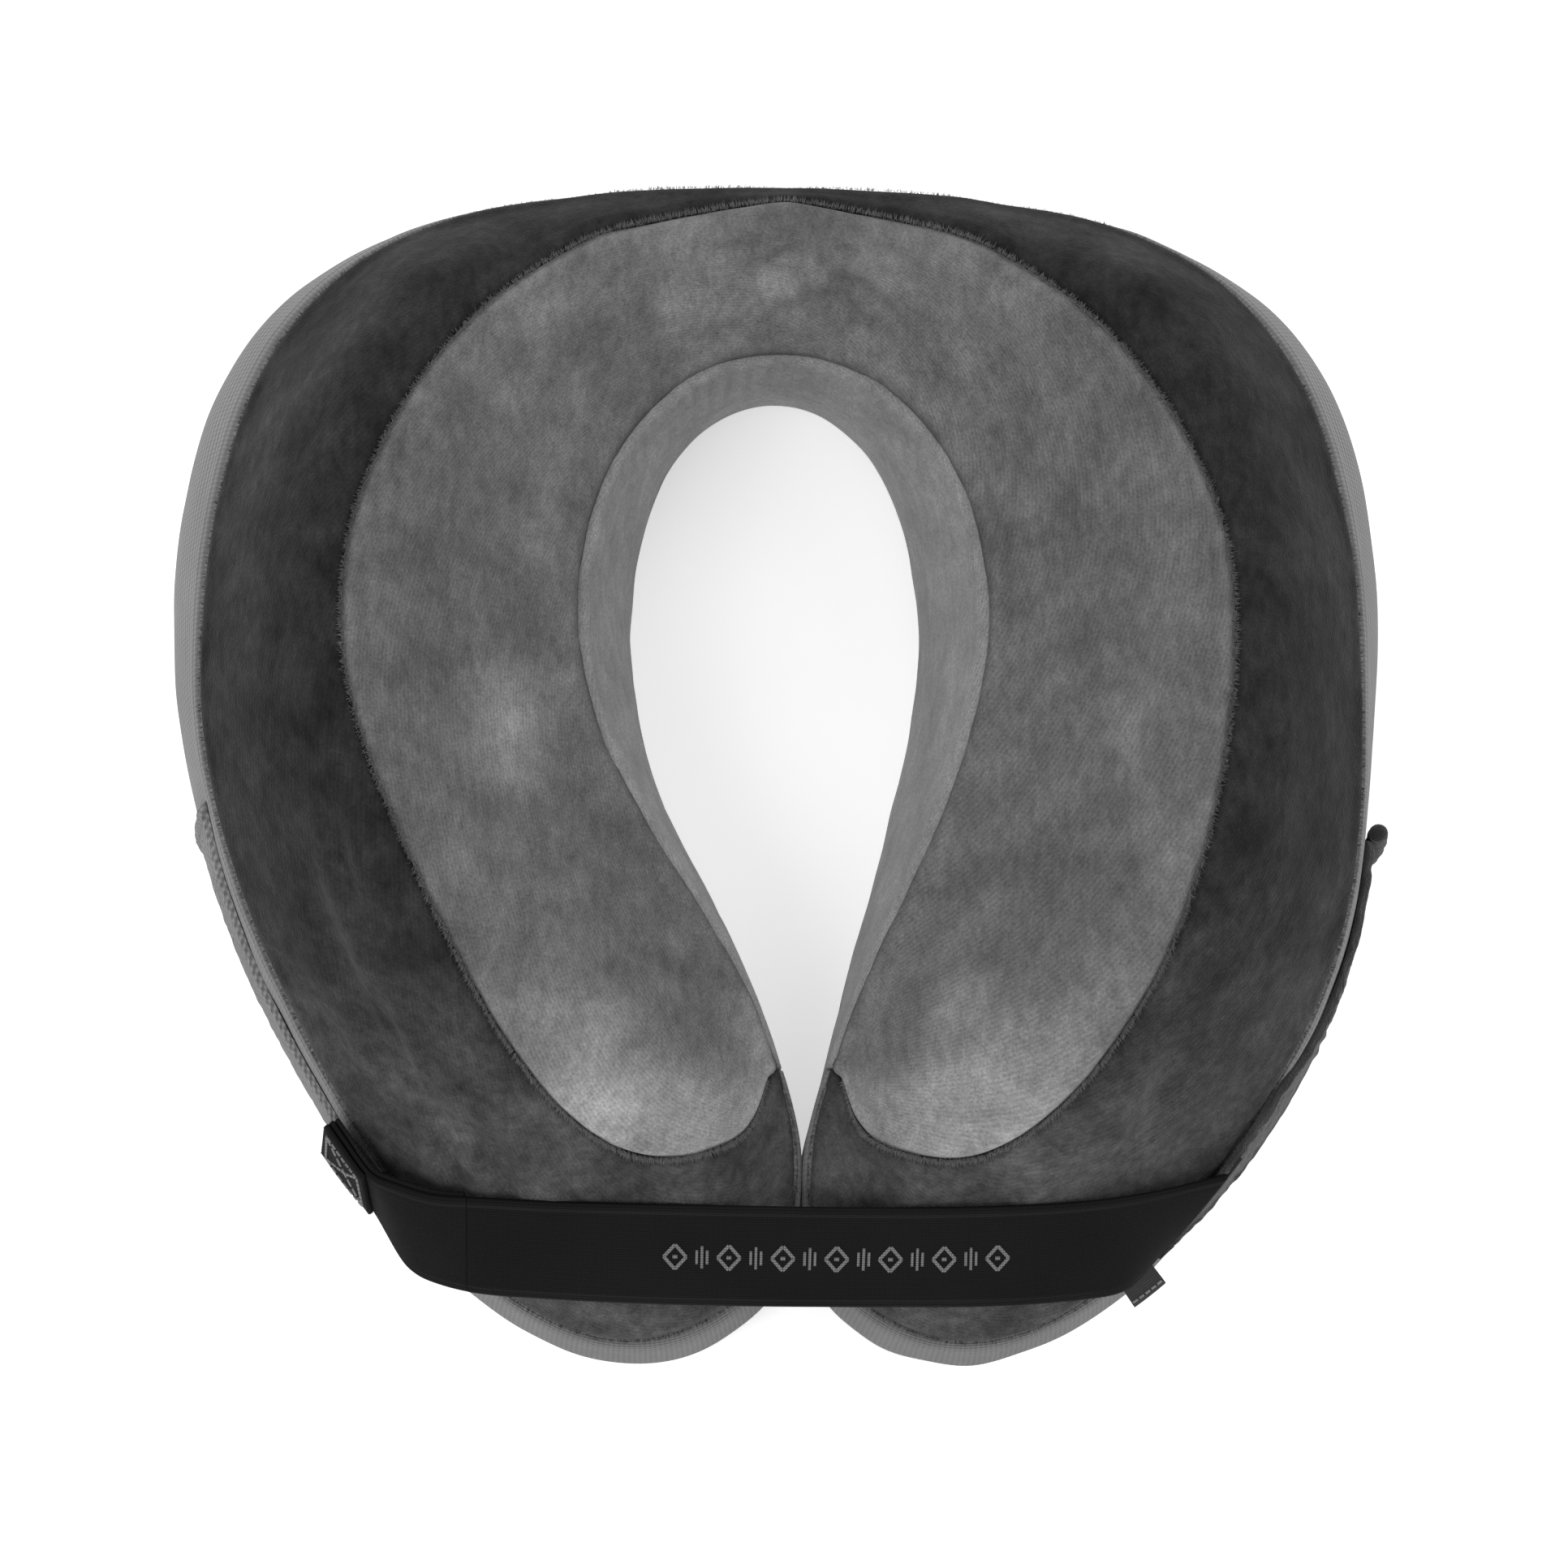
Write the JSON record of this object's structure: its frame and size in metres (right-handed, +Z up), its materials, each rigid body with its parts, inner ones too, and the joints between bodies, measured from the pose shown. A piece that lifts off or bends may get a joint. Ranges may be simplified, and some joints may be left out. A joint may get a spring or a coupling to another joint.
{
  "type": "u shaped neck pillow",
  "caption": "Horseshoe-shaped memory foam neck pillow in a sewn velour cover, closed across the front by an elastic hook-and-loop strap.",
  "frame": {"origin": "on the resting plane, under the middle of the overall footprint", "axes": "+Z up from the base; +Y towards the back of the neck, so the two lobes and the strap are at -Y; +X to the side of the strap's sewn end"},
  "size_m": [0.2907, 0.2737, 0.123],
  "materials": {
    "foam": "open-cell memory foam, matt",
    "dark_velour": "short-pile velour",
    "grey_velour": "short-pile velour",
    "pale_velour": "short-pile velour",
    "wall_knit": "fine brushed knit",
    "base_knit": "fine brushed knit",
    "loop_knit": "unbroken-loop knit",
    "loop_band": "brushed loop tape",
    "dark_thread": "polyester thread",
    "label_satin": "folded woven satin",
    "light_thread": "polyester thread",
    "elastic": "woven elastic webbing",
    "hook_tape": "moulded hooks on woven tape",
    "zip_tape": "woven zip tape",
    "zip_coil": "polyester coil",
    "zip_metal": "black painted zinc"
  },
  "bodies": {
    "pillow": {"foam_core": "foam", "ring_panel": "dark_velour", "neck_panel": "grey_velour", "neck_wall_panel": "pale_velour", "outer_wall_panel": "wall_knit", "base_panel": "base_knit", "loop_panel": "loop_knit", "anchor_band": "loop_band", "anchor_band_roll": "loop_band", "anchor_overlock": "dark_thread", "side_label": "label_satin", "side_label_stitch": "light_thread", "zip_tape_upper": "zip_tape", "zip_tape_lower": "zip_tape", "zip_coil_upper": "zip_coil", "zip_coil_lower": "zip_coil", "zip_stop_open": "zip_metal", "zip_stop_closed": "zip_metal"},
    "strap": {"strap_elastic": "elastic"},
    "strap_end": {"strap_end_elastic": "elastic", "hook_patch": "hook_tape", "grip_tab": "elastic", "tab_box_stitch": "light_thread"},
    "zip_slider": {"zip_slider": "zip_metal"},
    "zip_pull": {"zip_pull": "zip_metal"}
  },
  "joints": [
    {"name": "strap_open", "type": "hinge", "parent": "pillow", "child": "strap", "pos_m": [0.1046, -0.0982, 0.054], "axis": [0, 0, 1], "range_deg": [0, 110]},
    {"name": "strap_tab_peel", "type": "hinge", "parent": "strap", "child": "strap_end", "pos_m": [-0.0732, -0.115, 0.0504], "axis": [0, 0.7185, 0.6955], "range_deg": [0, 75]},
    {"name": "zip_slide", "type": "slide", "parent": "pillow", "child": "zip_slider", "axis": [-1, 0, 0], "range_m": [0, 0.093]},
    {"name": "zip_pull_swing", "type": "hinge", "parent": "zip_slider", "child": "zip_pull", "pos_m": [0.0457, 0.13585, 0.023], "axis": [0, 0, -1], "range_deg": [0, 150]}
  ]
}
